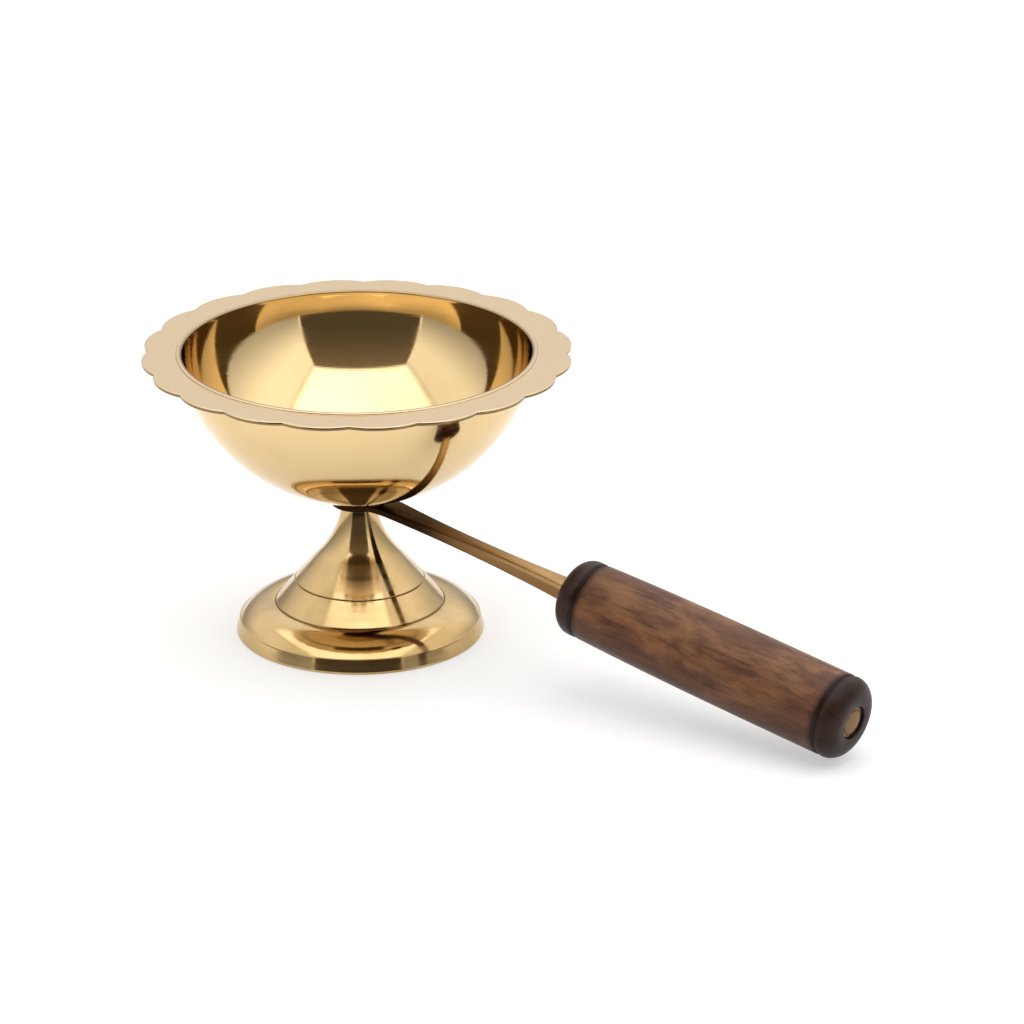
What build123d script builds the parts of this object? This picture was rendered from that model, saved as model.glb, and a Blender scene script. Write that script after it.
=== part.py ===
from build123d import *
import math
import os

# Aarti lamp: a brass bowl with a scalloped flange stands on a hollow bell foot and is
# carried by a sloping brass arm with a turned wooden grip. One stud and nut inside the
# foot clamp the bowl, the arm's eye and the foot together. The arm's tang runs through
# the grip and is peened over a washer in the butt.
# Frame: origin in the middle of the foot's resting plane, +Z up, +X along the arm.
# Lengths are in millimetres and angles in degrees.

# Bell foot
FOOT_HEIGHT = 40.3
FOOT_RADIUS = 37.2
FOOT_BAND = 4.6         # height of the band round the base
BAND_TAPER = 1.0        # by which the band is narrower at its top
FOOT_LEDGE = 0.3        # width of the ledge between band and moulding
FOOT_CHAMFER = 0.6      # lower edge of the band
SHOULDER_LEAN = 39.0    # of the moulding from upright, where it meets the ledge
VALLEY_RADIUS = 25.4    # lower engraved ring, in the valley between moulding and cone
VALLEY_HEIGHT = 9.6
RING_RADIUS = 19.4      # upper engraved ring, on the cone
ENGRAVING_WIDTH = 0.4   # side of the square cutter, set on edge
NECK_RADIUS = 5.1       # at the top, under the eye
NECK_LEAN = 7.0         # of the neck from upright, at the top
FLARE_RADIUS = 28.0     # hollow curve from the neck into the cone
FOOT_WALL = 2.6
NECK_SOLID = 15.3       # depth of solid brass above the hollow

# Bowl
BOSS_RADIUS = 7.5
BOSS_HEIGHT = 1.1       # seat face to the lowest point of the bowl's outside
BOWL_DEPTH = 45.0       # that lowest point to the top of the flange
BOWL_FULLNESS = 31.5    # pull of the outside's curve along the bottom, from the axis
SIDE_PULL = 19.3        # pull of that curve down the side, from the flange
SIDE_LEAN = 5.4         # of the outside from upright at the flange
INSIDE_FULLNESS = 34.0  # the same three for the inside
INSIDE_PULL = 20.2
INSIDE_LEAN = 3.5
BOWL_BOTTOM = 3.0       # thickness over the boss
OPENING_RADIUS = 52.0
RIM_WALL = 1.0          # of the side just below the flange, measured level
LIP_WIDTH = 1.6
LIP_RISE = 0.5          # of the lip above the flange
LIP_CHAMFER = 0.4
FLANGE_THICKNESS = 1.1
FLANGE_RADIUS = 64.1    # over the tips of the scallops
SCALLOP_DEPTH = 1.9     # tip to notch
SCALLOP_COUNT = 20
SCALLOP_TURN = -0.7     # first notch from the arm's direction

# Arm
EYE_RADIUS = 8.2
EYE_THICKNESS = 2.0
ARM_BEND = 11.3         # lamp axis to where the arm turns down
ARM_SLOPE = 9.5         # below level
ARM_LENGTH = 68.4       # bend to the front face of the grip
ARM_WIDTH = 9.6         # at the bend
WAIST_DISTANCE = 30.1   # bend to the narrowest place
WAIST_WIDTH = 5.0
WAIST_THICKNESS = 3.5
MOUTH_WIDTH = 6.8       # where the arm meets the grip
MOUTH_THICKNESS = 5.2
ARM_EDGE_ROUND = 0.6
TANG_RADIUS = 2.0
TANG_HEAD_RADIUS = 3.9
TANG_HEAD_HEIGHT = 0.8

# Grip
GRIP_LENGTH = 100.5
GRIP_FRONT_RADIUS = 11.6
GRIP_MIDDLE_RADIUS = 12.4
GRIP_REAR_RADIUS = 12.5
FRONT_GROOVE = 7.2      # from the front face
REAR_GROOVE = 6.0       # from the butt
GROOVE_WIDTH = 1.1      # side of the square cutter, set on edge
FRONT_NOSE = 4.5        # rounding of the front corner
REAR_NOSE = 5.0         # length of the butt's rounding
BUTT_FLAT = 7.0         # radius of the flat in the middle of the butt
RECESS_RADIUS = 5.0
RECESS_DEPTH = 1.6
TANG_WASHER_THICKNESS = 0.8

# Clamp
STUD_RADIUS = 3.0
STUD_ENGAGEMENT = 2.6   # inside the boss of the bowl
STUD_TAIL = 1.6         # beyond the nut
WASHER_RADIUS = 6.5
WASHER_THICKNESS = 1.2
NUT_FLATS = 10.0
NUT_HEIGHT = 5.0

# Clearances, each on the radius except the last
HOLE_CLEARANCE = 0.2    # stud in the eye, the foot and the washer
THREAD_CLEARANCE = 0.05  # stud in the boss and the nut
TANG_CLEARANCE = 0.1    # tang in the grip and its washer
RECESS_CLEARANCE = 0.2  # tang washer in its recess
STUD_END_GAP = 0.3      # above the stud in its blind hole

# Heights that follow from the stack
CEILING = FOOT_HEIGHT - NECK_SOLID
SEAT = FOOT_HEIGHT + EYE_THICKNESS
POLE = SEAT + BOSS_HEIGHT
FLANGE_TOP = POLE + BOWL_DEPTH
FLANGE_BASE = FLANGE_TOP - FLANGE_THICKNESS
LIP_TOP = FLANGE_TOP + LIP_RISE

UPWARDS = (Align.CENTER, Align.CENTER, Align.MIN)


def rod(radius, bottom, height):
    """Upright cylinder on the Z axis."""
    return Pos(0, 0, bottom) * Cylinder(radius, height, align=UPWARDS)


def polar(length, angle):
    """Vector of a length at an angle, anticlockwise from the first axis."""
    return Vector(length, 0).rotate(Axis.Z, angle)


def turned(outline):
    """Solid turned about Z from the curves of a closed half section of radius and height."""
    edges = [edge for curve in outline for edge in curve.edges()]
    return revolve(Plane.XZ * make_face(edges), Axis.Z)


def arc_about(centre, start, end):
    """Arc between two points of a circle round the centre, the short way."""
    radius = (start - centre).length
    middle = centre + ((start + end) * 0.5 - centre).normalized() * radius
    return ThreePointArc(start, middle, end)


def rounded(start, corner, end):
    """Curve that rounds off a corner between two points, close to a quarter of an ellipse."""
    return Bezier(start, start + (corner - start) * 0.55, end + (corner - end) * 0.55, end)


def touch_point(centre, radius, outside):
    """Where a line from a point outside touches a circle, on its right."""
    reach = outside - centre
    turn = math.degrees(math.acos(radius / reach.length))
    return centre + reach.normalized().rotate(Axis.Z, -turn) * radius


def foot_points():
    """Centres and meeting points of the foot's outside, as radius and height."""
    ledge = Vector(FOOT_RADIUS - BAND_TAPER - FOOT_LEDGE, FOOT_BAND)
    valley = Vector(VALLEY_RADIUS, VALLEY_HEIGHT)
    over = valley - ledge
    inwards = polar(1, 180 + SHOULDER_LEAN)
    shoulder = ledge + inwards * (over.dot(over) / (2 * over.dot(inwards)))
    neck = Vector(NECK_RADIUS, FOOT_HEIGHT)
    flare = neck + polar(FLARE_RADIUS, NECK_LEAN)
    cone_top = touch_point(flare, FLARE_RADIUS, valley)
    return ledge, shoulder, valley, cone_top, flare, neck


def bell(inset):
    """Solid bell from moulding to neck, drawn inwards from the outside by the inset."""
    ledge, shoulder, valley, cone_top, flare, neck = foot_points()
    down_cone = (valley - cone_top).normalized()
    from_cone = Vector(down_cone.Y, -down_cone.X)
    from_valley = (shoulder - valley).normalized()
    corner = valley + (from_cone + from_valley) * (inset / (1 + from_cone.dot(from_valley)))
    base = ledge.X - inset
    shoulder_radius = (shoulder - valley).length - inset
    rise = math.sqrt(shoulder_radius ** 2 - (base - shoulder.X) ** 2)
    shoulder_foot = Vector(base, shoulder.Y + rise)
    cone_end = cone_top + from_cone * inset
    neck_end = neck + (neck - flare).normalized() * inset
    return turned([
        Polyline((0, 0), (base, 0), shoulder_foot),
        arc_about(shoulder, shoulder_foot, corner),
        Line(corner, cone_end),
        arc_about(flare, cone_end, neck_end),
        Polyline(neck_end, (0, neck_end.Y), (0, 0)),
    ])


def base_band():
    """Disc for the band round the base, tapered, with its lower edge broken."""
    return turned([
        Polyline(
            (0, 0),
            (FOOT_RADIUS - FOOT_CHAMFER, 0),
            (FOOT_RADIUS, FOOT_CHAMFER),
            (FOOT_RADIUS - BAND_TAPER, FOOT_BAND),
            (0, FOOT_BAND),
            (0, 0),
        ),
    ])


def groove_cutter(radius, height, width):
    """Ring of square section, set on edge, that cuts one groove round a turned piece."""
    diamond = Pos(radius, height) * Rot(0, 0, 45) * Rectangle(width, width)
    return revolve(Plane.XZ * diamond, Axis.Z)


def make_pedestal():
    """Hollow bell foot with its engraved rings and the hole for the stud."""
    _, _, valley, cone_top, _, _ = foot_points()
    share = (RING_RADIUS - cone_top.X) / (valley.X - cone_top.X)
    ring_height = cone_top.Y + (valley.Y - cone_top.Y) * share
    foot = bell(0) + base_band()
    foot -= groove_cutter(VALLEY_RADIUS, VALLEY_HEIGHT, ENGRAVING_WIDTH)
    foot -= groove_cutter(RING_RADIUS, ring_height, ENGRAVING_WIDTH)
    foot -= bell(FOOT_WALL) & rod(FOOT_RADIUS, 0, CEILING)
    return foot - rod(STUD_RADIUS + HOLE_CLEARANCE, 0, FOOT_HEIGHT)


def scalloped_disc():
    """Flange as a disc whose edge is a ring of round lobes that meet in sharp notches."""
    step = 360 / SCALLOP_COUNT
    notch = FLANGE_RADIUS - SCALLOP_DEPTH
    arcs = []
    for lobe in range(SCALLOP_COUNT):
        start = SCALLOP_TURN + step * lobe
        arcs.append(ThreePointArc(
            polar(notch, start),
            polar(FLANGE_RADIUS, start + step / 2),
            polar(notch, start + step),
        ))
    return extrude(Pos(0, 0, FLANGE_BASE) * make_face(arcs), FLANGE_THICKNESS)


def side_curve(bottom, fullness, rim, pull, lean):
    """Half of the bowl's curve, level on the axis and leaning outwards at the rim."""
    side = rim - Vector(0, pull).rotate(Axis.Z, -lean)
    return Bezier((0, bottom), (fullness, bottom), side, rim)


def make_bowl():
    """Bowl that thickens to its bottom, with raised lip, flange and a tapped boss below."""
    floor = POLE + BOWL_BOTTOM
    rim = Vector(OPENING_RADIUS + RIM_WALL, FLANGE_BASE)
    mouth = Vector(OPENING_RADIUS, LIP_TOP)
    lip_radius = OPENING_RADIUS + LIP_WIDTH
    shell = turned([
        side_curve(POLE, BOWL_FULLNESS, rim, SIDE_PULL, SIDE_LEAN),
        Polyline(rim, (lip_radius, FLANGE_BASE), (lip_radius, LIP_TOP), mouth),
        side_curve(floor, INSIDE_FULLNESS, mouth, INSIDE_PULL, INSIDE_LEAN),
        Line((0, POLE), (0, floor)),
    ])
    shell = chamfer(shell.edges().group_by(Axis.Z)[-1], LIP_CHAMFER)
    flange = scalloped_disc() - rod(OPENING_RADIUS + LIP_WIDTH / 2, FLANGE_BASE, FLANGE_THICKNESS)
    boss = rod(BOSS_RADIUS, SEAT, BOSS_HEIGHT + BOWL_BOTTOM / 2)
    tapped = rod(STUD_RADIUS + THREAD_CLEARANCE, SEAT, STUD_ENGAGEMENT + STUD_END_GAP)
    return shell + flange + boss - tapped


def station(distance):
    """Plane across the sloping arm at a distance from the bend; its Z runs to the butt."""
    lean = math.radians(ARM_SLOPE)
    way = Vector(math.cos(lean), 0, -math.sin(lean))
    bend = Vector(ARM_BEND, 0, FOOT_HEIGHT + EYE_THICKNESS / 2)
    return Plane(bend + way * distance, x_dir=(0, 1, 0), z_dir=way)


def make_arm():
    """Forged arm: flat eye, bar drawn in to a waist, tang through the grip, peened head."""
    bend = Plane((ARM_BEND, 0, FOOT_HEIGHT + EYE_THICKNESS / 2), x_dir=(0, 1, 0), z_dir=(1, 0, 0))
    root = bend * RectangleRounded(ARM_WIDTH, EYE_THICKNESS, ARM_EDGE_ROUND)
    waist = station(WAIST_DISTANCE) * RectangleRounded(WAIST_WIDTH, WAIST_THICKNESS, ARM_EDGE_ROUND)
    mouth = station(ARM_LENGTH) * RectangleRounded(MOUTH_WIDTH, MOUTH_THICKNESS, ARM_EDGE_ROUND)
    bar = loft([root, waist, mouth])
    eye = rod(EYE_RADIUS, FOOT_HEIGHT, EYE_THICKNESS) + extrude(root, -ARM_BEND)
    eye -= rod(STUD_RADIUS + HOLE_CLEARANCE, FOOT_HEIGHT, EYE_THICKNESS)
    head_base = GRIP_LENGTH - RECESS_DEPTH + TANG_WASHER_THICKNESS
    dome = turned([
        Polyline((0, head_base + TANG_HEAD_HEIGHT), (0, head_base), (TANG_HEAD_RADIUS, head_base)),
        Spline(
            (TANG_HEAD_RADIUS, head_base),
            (0, head_base + TANG_HEAD_HEIGHT),
            tangents=[(0, 1), (-1, 0)],
        ),
    ])
    tang = rod(TANG_RADIUS, 0, head_base + TANG_HEAD_HEIGHT / 2) + dome
    return eye + bar + station(ARM_LENGTH) * tang


def make_grip():
    """Turned grip: round nose, two grooves, swelling taper, recessed butt and tang bore."""
    rear = GRIP_LENGTH - REAR_GROOVE
    nose = Vector(GRIP_FRONT_RADIUS - FRONT_NOSE, 0)
    front = Vector(GRIP_FRONT_RADIUS, FRONT_NOSE)
    back = Vector(GRIP_REAR_RADIUS, GRIP_LENGTH - REAR_NOSE)
    butt = Vector(BUTT_FLAT, GRIP_LENGTH)
    body = turned([
        Line((0, 0), nose),
        rounded(nose, Vector(GRIP_FRONT_RADIUS, 0), front),
        Line(front, (GRIP_FRONT_RADIUS, FRONT_GROOVE)),
        ThreePointArc(
            (GRIP_FRONT_RADIUS, FRONT_GROOVE),
            (GRIP_MIDDLE_RADIUS, (FRONT_GROOVE + rear) / 2),
            (GRIP_REAR_RADIUS, rear),
        ),
        Line((GRIP_REAR_RADIUS, rear), back),
        rounded(back, Vector(GRIP_REAR_RADIUS, GRIP_LENGTH), butt),
        Polyline(butt, (0, GRIP_LENGTH), (0, 0)),
    ])
    body -= groove_cutter(GRIP_FRONT_RADIUS, FRONT_GROOVE, GROOVE_WIDTH)
    body -= groove_cutter(GRIP_REAR_RADIUS, rear, GROOVE_WIDTH)
    body -= rod(RECESS_RADIUS, GRIP_LENGTH - RECESS_DEPTH, RECESS_DEPTH)
    body -= rod(TANG_RADIUS + TANG_CLEARANCE, 0, GRIP_LENGTH)
    return station(ARM_LENGTH) * body


def make_tang_washer():
    """Washer in the butt's recess, under the peened head of the tang."""
    bottom = GRIP_LENGTH - RECESS_DEPTH
    washer = rod(RECESS_RADIUS - RECESS_CLEARANCE, bottom, TANG_WASHER_THICKNESS)
    washer -= rod(TANG_RADIUS + TANG_CLEARANCE, bottom, TANG_WASHER_THICKNESS)
    return station(ARM_LENGTH) * washer


def make_clamp_stud():
    """Stud from the boss of the bowl down to below the nut."""
    bottom = CEILING - WASHER_THICKNESS - NUT_HEIGHT - STUD_TAIL
    return rod(STUD_RADIUS, bottom, SEAT + STUD_ENGAGEMENT - bottom)


def make_clamp_washer():
    """Plain washer against the ceiling of the foot's hollow."""
    bottom = CEILING - WASHER_THICKNESS
    washer = rod(WASHER_RADIUS, bottom, WASHER_THICKNESS)
    return washer - rod(STUD_RADIUS + HOLE_CLEARANCE, bottom, WASHER_THICKNESS)


def make_clamp_nut():
    """Hexagon nut below the washer."""
    bottom = CEILING - WASHER_THICKNESS - NUT_HEIGHT
    hexagon = Pos(0, 0, bottom) * RegularPolygon(NUT_FLATS / 2, 6, major_radius=False)
    return extrude(hexagon, NUT_HEIGHT) - rod(STUD_RADIUS + THREAD_CLEARANCE, bottom, NUT_HEIGHT)


def main():
    """Write each piece of the lamp to its own file."""
    os.makedirs("parts", exist_ok=True)
    export_step(make_pedestal(), "parts/pedestal.step")
    export_step(make_bowl(), "parts/bowl.step")
    export_step(make_arm(), "parts/arm.step")
    export_step(make_grip(), "parts/grip.step")
    export_step(make_tang_washer(), "parts/tang_washer.step")
    export_step(make_clamp_stud(), "parts/clamp_stud.step")
    export_step(make_clamp_washer(), "parts/clamp_washer.step")
    export_step(make_clamp_nut(), "parts/clamp_nut.step")


main()
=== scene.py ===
import math

import bmesh
import bpy
from bpy.props import FloatProperty, FloatVectorProperty, IntProperty, PointerProperty
from mathutils import Matrix, Vector
from mathutils.geometry import interpolate_bezier


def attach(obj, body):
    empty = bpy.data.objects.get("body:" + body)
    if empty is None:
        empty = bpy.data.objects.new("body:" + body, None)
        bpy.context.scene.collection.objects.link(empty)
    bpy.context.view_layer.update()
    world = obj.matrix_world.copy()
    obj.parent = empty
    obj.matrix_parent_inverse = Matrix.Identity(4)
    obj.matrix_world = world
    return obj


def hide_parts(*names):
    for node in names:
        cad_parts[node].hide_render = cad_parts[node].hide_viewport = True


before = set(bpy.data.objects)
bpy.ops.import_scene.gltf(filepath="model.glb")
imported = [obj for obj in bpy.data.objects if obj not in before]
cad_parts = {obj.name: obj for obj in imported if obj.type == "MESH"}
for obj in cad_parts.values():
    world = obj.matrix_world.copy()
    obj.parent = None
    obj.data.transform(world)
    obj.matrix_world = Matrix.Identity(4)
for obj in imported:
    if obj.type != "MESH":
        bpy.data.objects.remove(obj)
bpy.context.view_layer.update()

# Looks of the lamp: a spun brass bowl with a scalloped flange, a turned bell foot, a forged
# arm, a turned wooden grip and the clamp inside the foot. Lengths are in metres, +Z is up
# and +X runs along the arm. Each piece stands for one solid of the packed part.

bl_info = {
    "name": "Aarti Lamp",
    "version": (1, 0, 0),
    "blender": (4, 5, 0),
    "location": "View3D > Sidebar > Lamp",
    "description": "Dresses the packed lamp in brass and wood and sets up its stage",
    "category": "Object",
}


def length(name, description, millimetres):
    """Size of the lamp, shown in millimetres and kept in metres."""
    return FloatProperty(
        name=name, description=description, default=millimetres / 1000, min=0,
        precision=5, subtype="DISTANCE", unit="LENGTH",
    )


def angle(name, description, degrees):
    """Angle, given in degrees and kept in radians."""
    return FloatProperty(
        name=name, description=description, default=math.radians(degrees), subtype="ANGLE",
        unit="ROTATION",
    )


def colour(name, description, red, green, blue):
    """Colour of a finish, in linear values."""
    return FloatVectorProperty(
        name=name, description=description, default=(red, green, blue, 1), size=4, min=0, max=1,
        subtype="COLOR",
    )


def share(name, description, value):
    """Plain number."""
    return FloatProperty(name=name, description=description, default=value, min=0, precision=3)


class BowlSizes(bpy.types.PropertyGroup):
    """Sizes of the bowl and its flange."""

    opening: length("Opening radius", "Radius of the mouth inside the lip", 52.0)
    seat: length("Seat height", "Height of the face that rests on the arm's eye", 42.3)
    pole: length("Lowest outside", "Height of the lowest point of the outside", 43.4)
    floor: length("Lowest inside", "Height of the lowest point of the inside", 46.4)
    fullness: length("Outside fullness", "Pull of the outside along the bottom", 31.5)
    pull: length("Outside pull", "Pull of the outside down the side", 19.3)
    lean: angle("Outside lean", "Lean of the outside at the flange", 5.4)
    inside_fullness: length("Inside fullness", "Pull of the inside along the bottom", 34.0)
    inside_pull: length("Inside pull", "Pull of the inside down the side", 20.2)
    inside_lean: angle("Inside lean", "Lean of the inside at the lip", 3.5)
    rim_wall: length("Rim wall", "Thickness of the side below the flange", 1.0)
    boss: length("Boss radius", "Radius of the boss that takes the stud", 7.5)
    bore: length("Boss hole", "Radius of the tapped hole in the boss", 3.05)
    bore_depth: length("Boss hole depth", "Depth of the tapped hole", 2.9)
    lip_width: length("Lip width", "Width of the raised lip round the mouth", 1.6)
    lip_rise: length("Lip rise", "Height of the lip above the flange", 0.5)
    flange_top: length("Flange height", "Height of the flange's upper face", 88.4)
    flange_thickness: length("Flange thickness", "Thickness of the flange", 1.1)
    flange_radius: length("Flange radius", "Radius over the tips of the scallops", 64.1)
    scallop_depth: length("Scallop depth", "Depth from tip to notch", 1.9)
    scallops: IntProperty(
        name="Scallops", description="Number of lobes round the flange", default=20, min=3)
    scallop_turn: angle("First notch", "Angle of the first notch from the arm", -0.7)


class FootSizes(bpy.types.PropertyGroup):
    """Sizes of the bell foot."""

    height: length("Height", "Height of the foot", 40.3)
    radius: length("Radius", "Radius at the floor", 37.2)
    band: length("Band height", "Height of the band round the base", 4.6)
    taper: length("Band taper", "By which the band is narrower at its top", 1.0)
    ledge: length("Ledge", "Width of the ledge above the band", 0.3)
    hem: length("Lower edge", "Rounding of the band's lower edge", 0.6)
    lean: angle("Moulding lean", "Lean of the moulding where it meets the ledge", 39.0)
    valley_radius: length("Valley radius", "Radius of the lower engraved ring", 25.4)
    valley_height: length("Valley height", "Height of the lower engraved ring", 9.6)
    ring_radius: length("Ring radius", "Radius of the upper engraved ring", 19.4)
    engraving: length("Engraving", "Half width of the engraved rings", 0.28)
    neck: length("Neck radius", "Radius of the neck under the eye", 5.1)
    neck_lean: angle("Neck lean", "Lean of the neck under the eye", 7.0)
    flare: length("Flare radius", "Radius of the hollow curve below the neck", 28.0)
    wall: length("Wall", "Thickness of the bell's wall", 2.6)
    ceiling: length("Ceiling", "Height of the hollow inside the foot", 25.0)
    bore: length("Stud hole", "Radius of the hole for the stud", 3.2)


class ArmSizes(bpy.types.PropertyGroup):
    """Sizes of the arm, its eye and its tang."""

    eye: length("Eye radius", "Radius of the eye under the bowl", 8.2)
    eye_thickness: length("Eye thickness", "Thickness of the eye", 2.0)
    eye_base: length("Eye height", "Height of the eye's lower face", 40.3)
    bore: length("Eye hole", "Radius of the hole for the stud", 3.2)
    bend: length("Bend", "Lamp axis to where the arm turns down", 11.3)
    slope: angle("Slope", "Slope of arm and grip below level", 9.5)
    reach: length("Length", "Bend to the front of the grip", 68.4)
    root_width: length("Root width", "Width at the bend", 9.6)
    waist: length("Waist distance", "Bend to the narrowest place", 30.1)
    waist_width: length("Waist width", "Width at the narrowest place", 5.0)
    waist_thickness: length("Waist thickness", "Thickness at the narrowest place", 3.5)
    mouth_width: length("Mouth width", "Width where the arm meets the grip", 6.8)
    mouth_thickness: length("Mouth thickness", "Thickness where it meets the grip", 5.2)
    edge: length("Edge rounding", "Rounding of the bar's edges", 0.6)
    tang: length("Tang radius", "Radius of the tang inside the grip", 2.0)
    head: length("Head radius", "Radius of the tang's hammered head", 3.9)
    head_height: length("Head height", "Height of the tang's hammered head", 0.8)


class GripSizes(bpy.types.PropertyGroup):
    """Sizes of the wooden grip and the washer in its butt."""

    long: length("Length", "Length of the grip", 100.5)
    front: length("Front radius", "Radius at the front groove", 11.6)
    middle: length("Middle radius", "Radius half way", 12.4)
    rear: length("Rear radius", "Radius at the rear groove", 12.5)
    front_groove: length("Front groove", "Front face to the front groove", 7.2)
    rear_groove: length("Rear groove", "Rear groove to the butt", 6.0)
    groove: length("Groove", "Half width of the grooves", 0.78)
    front_nose: length("Front rounding", "Rounding of the front corner", 4.5)
    rear_nose: length("Rear rounding", "Length of the butt's rounding", 5.0)
    butt_flat: length("Butt flat", "Radius of the flat in the middle of the butt", 7.0)
    recess: length("Recess radius", "Radius of the recess in the butt", 5.0)
    recess_depth: length("Recess depth", "Depth of the recess in the butt", 1.6)
    bore: length("Bore", "Radius of the bore for the tang", 2.1)
    washer: length("Washer radius", "Radius of the washer in the recess", 4.8)
    washer_thickness: length("Washer thickness", "Thickness of that washer", 0.8)


class ClampSizes(bpy.types.PropertyGroup):
    """Sizes of the stud, washer and nut inside the foot."""

    stud: length("Stud radius", "Radius of the stud over its thread", 3.0)
    stud_bottom: length("Stud bottom", "Height of the stud's lower end", 17.2)
    stud_top: length("Stud top", "Height of the stud's upper end", 44.9)
    pitch: length("Thread pitch", "Distance between two turns of the thread", 1.0)
    washer: length("Washer radius", "Radius of the plain washer", 6.5)
    washer_thickness: length("Washer thickness", "Thickness of the plain washer", 1.2)
    washer_bore: length("Washer hole", "Radius of the washer's hole", 3.2)
    nut_flats: length("Nut width", "Width of the nut across its flats", 10.0)
    nut_height: length("Nut height", "Height of the nut", 5.0)
    nut_bore: length("Nut hole", "Radius of the nut's hole", 3.05)


class FinishColours(bpy.types.PropertyGroup):
    """Colours of the brass, the wood and the clamp."""

    brass: colour("Polished brass", "Bright turned brass", 0.755, 0.555, 0.285)
    brass_dull: colour("Dull brass", "Brass where the polish has gone", 0.63, 0.44, 0.20)
    flange: colour("Satin brass", "Brushed face of the flange", 0.645, 0.495, 0.315)
    foot: colour("Foot", "Turned brass of the foot", 0.585, 0.408, 0.193)
    foot_dull: colour("Foot, dull", "Dull patches of the foot", 0.42, 0.275, 0.112)
    # This colour also paints shade under the flange's edge and along the bowl's lip.
    grime_and_shade: colour("Grime", "Dirt in the engraved rings", 0.13, 0.08, 0.035)
    arm: colour("Forged brass", "Arm, less polished than the bowl", 0.50, 0.32, 0.145)
    # Besides dull patches, this colour paints shade on the arm's lower side and near the bowl.
    arm_stain_and_shade: colour("Forged brass, stained", "Dark stains on the arm", 0.17, 0.078, 0.026)
    # Painted shadow of the bowl on the arm, near the eye.
    arm_shadow: colour("Forged brass, sooty", "Soot on the arm under the bowl", 0.012, 0.005, 0.002)
    disc: colour("Disc", "Disc in the butt of the grip", 0.19, 0.115, 0.062)
    wood: colour("Wood", "Plain colour of the grip", 0.118, 0.046, 0.020)
    # Besides the grain, this colour paints shade on the grip's underside.
    wood_dark_and_shade: colour("Wood, dark veins", "Dark grain lines", 0.036, 0.013, 0.006)
    wood_light: colour("Wood, light veins", "Light patches of the grip", 0.200, 0.086, 0.036)
    # Dye on the ends; in and beside the grooves this colour paints shade.
    wood_stain_and_shade: colour("Wood, stained ends", "Ends and grooves of the grip", 0.009, 0.003, 0.002)
    steel: colour("Steel", "Zinc plated clamp", 0.55, 0.55, 0.54)
    steel_dull: colour("Steel, dull", "Dull patches of the clamp", 0.36, 0.35, 0.32)


class StageSettings(bpy.types.PropertyGroup):
    """Camera and light."""

    azimuth: angle("Azimuth", "Direction of the camera round the lamp", 37.6812)
    elevation: angle("Elevation", "Height of the camera above level", 21.3465)
    distance: length("Distance", "Camera to lamp", 2000.0)
    target: length("Target height", "Height that the distance is measured from", 45.0)
    pan: angle("Pan", "Turn of the camera away from the lamp's axis", -1.3091)
    tilt: angle("Tilt", "Tilt of the camera away from the target", -0.2213)
    roll: angle("Roll", "Roll of the camera", -0.72182)
    lens: FloatProperty(
        name="Lens", description="Focal length of the camera in millimetres", default=235.38,
        unit="CAMERA")
    floor_front: length("Floor in front", "Floor from the lamp to the tent's opening", 330.0)
    tent_left: share("Tent left", "Left wall, as a share of the distance to the opening", 0.95)
    tent_right: share("Tent right", "Right wall, as a share of that distance", 0.79)
    tent_top: share("Tent top", "Roof above the bowl, as a share of that distance", 1.235)
    tent_rear: share("Tent rear", "Rear wall, as a share of that distance", 1.0)
    roof_light: share("Roof light", "Brightness of the tent's roof", 2.4)
    wall_high: share("Wall light", "Brightness of the walls near the roof", 1.35)
    wall_low: share("Wall light below", "Brightness of the walls near the floor", 0.45)
    opening_high: share("Opening light", "Brightness of the room behind the camera, high up", 0.24)
    opening_low: share("Opening light below", "Brightness of that room low down", 0.10)


class Section:
    """Half section of a turned piece, drawn as radius and height from point to point."""

    def __init__(self, radius, height):
        self.bm = bmesh.new()
        self.start = self.tip = self.bm.verts.new((radius, 0, height))

    def line(self, *points):
        """Straight on to each point."""
        for radius, height in points:
            self.tip = bmesh.ops.extrude_vert_indiv(self.bm, verts=[self.tip])["verts"][0]
            self.tip.co = radius, 0, height

    def flat(self, end, hold=0.0003):
        """Straight on to a point, with a row held near both ends to keep the shading flat."""
        start, end = Vector((self.tip.co.x, self.tip.co.z)), Vector(end)
        step = (end - start).normalized() * hold
        self.line(start + step, end - step, end)

    def arc(self, centre, degrees, steps=6):
        """Round a centre, anticlockwise with the radius to the right and the height up."""
        turn = bmesh.ops.spin(
            self.bm, geom=[self.tip], cent=(centre[0], 0, centre[1]), axis=(0, -1, 0),
            angle=math.radians(degrees), steps=steps)
        self.tip = turn["geom_last"][0]

    def curve(self, first, second, end, steps):
        """Along a curve that leaves towards one handle and arrives from the other."""
        start = Vector((self.tip.co.x, self.tip.co.z))
        points = interpolate_bezier(start, Vector(first), Vector(second), Vector(end), steps + 1)
        self.line(*[(point[0], point[1]) for point in points[1:]])

    def rounding(self, corner, end, steps=4):
        """Round off a corner, ending at a point past it."""
        start, corner, end = Vector((self.tip.co.x, self.tip.co.z)), Vector(corner), Vector(end)
        self.curve(start.lerp(corner, 0.55), end.lerp(corner, 0.55), end, steps)

    def turned(self, steps, closed=True):
        """Turn the section about Z. An open section begins and ends on the axis."""
        if closed:
            self.bm.edges.new((self.tip, self.start))
        bmesh.ops.spin(
            self.bm, geom=self.bm.verts[:] + self.bm.edges[:], cent=(0, 0, 0), axis=(0, 0, 1),
            angle=2 * math.pi, steps=steps, use_merge=True)
        return tidied(self.bm)


def tidied(bm):
    """Merge what meets and point the faces outwards."""
    bmesh.ops.remove_doubles(bm, verts=bm.verts, dist=1e-6)
    bmesh.ops.recalc_face_normals(bm, faces=bm.faces)
    return bm


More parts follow.
